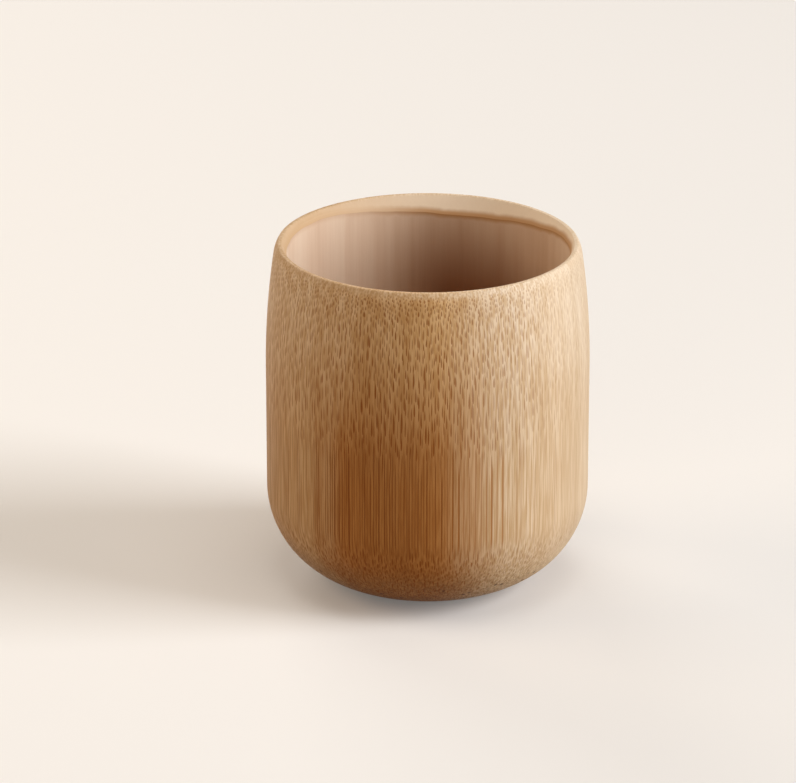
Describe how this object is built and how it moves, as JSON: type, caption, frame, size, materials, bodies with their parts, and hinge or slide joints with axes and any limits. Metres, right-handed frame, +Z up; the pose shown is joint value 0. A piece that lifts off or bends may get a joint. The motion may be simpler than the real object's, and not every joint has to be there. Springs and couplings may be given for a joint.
{
  "type": "bamboo cup",
  "caption": "Small handleless drinking cup turned from natural bamboo culm, with a rounded base, a drawn-in lip, a bevelled mouth and a pith-lined hollow.",
  "frame": {"origin": "centre of the foot ring, on the surface that the cup stands on", "axes": "+Z up through the mouth along the turning axis, -Y towards the front of the picture's view, +X to its right"},
  "size_m": [0.06, 0.06, 0.065],
  "materials": {
    "culm": "satin clear-sealed turned bamboo with brown fibre flecks",
    "pith_skin": "matte natural pith skin with faint lengthwise streaks",
    "node_tissue": "matte natural node tissue, mottled"
  },
  "bodies": {
    "root": {"culm_wall": "culm", "pith_lining": "pith_skin", "node_diaphragm": "node_tissue"}
  },
  "joints": []
}
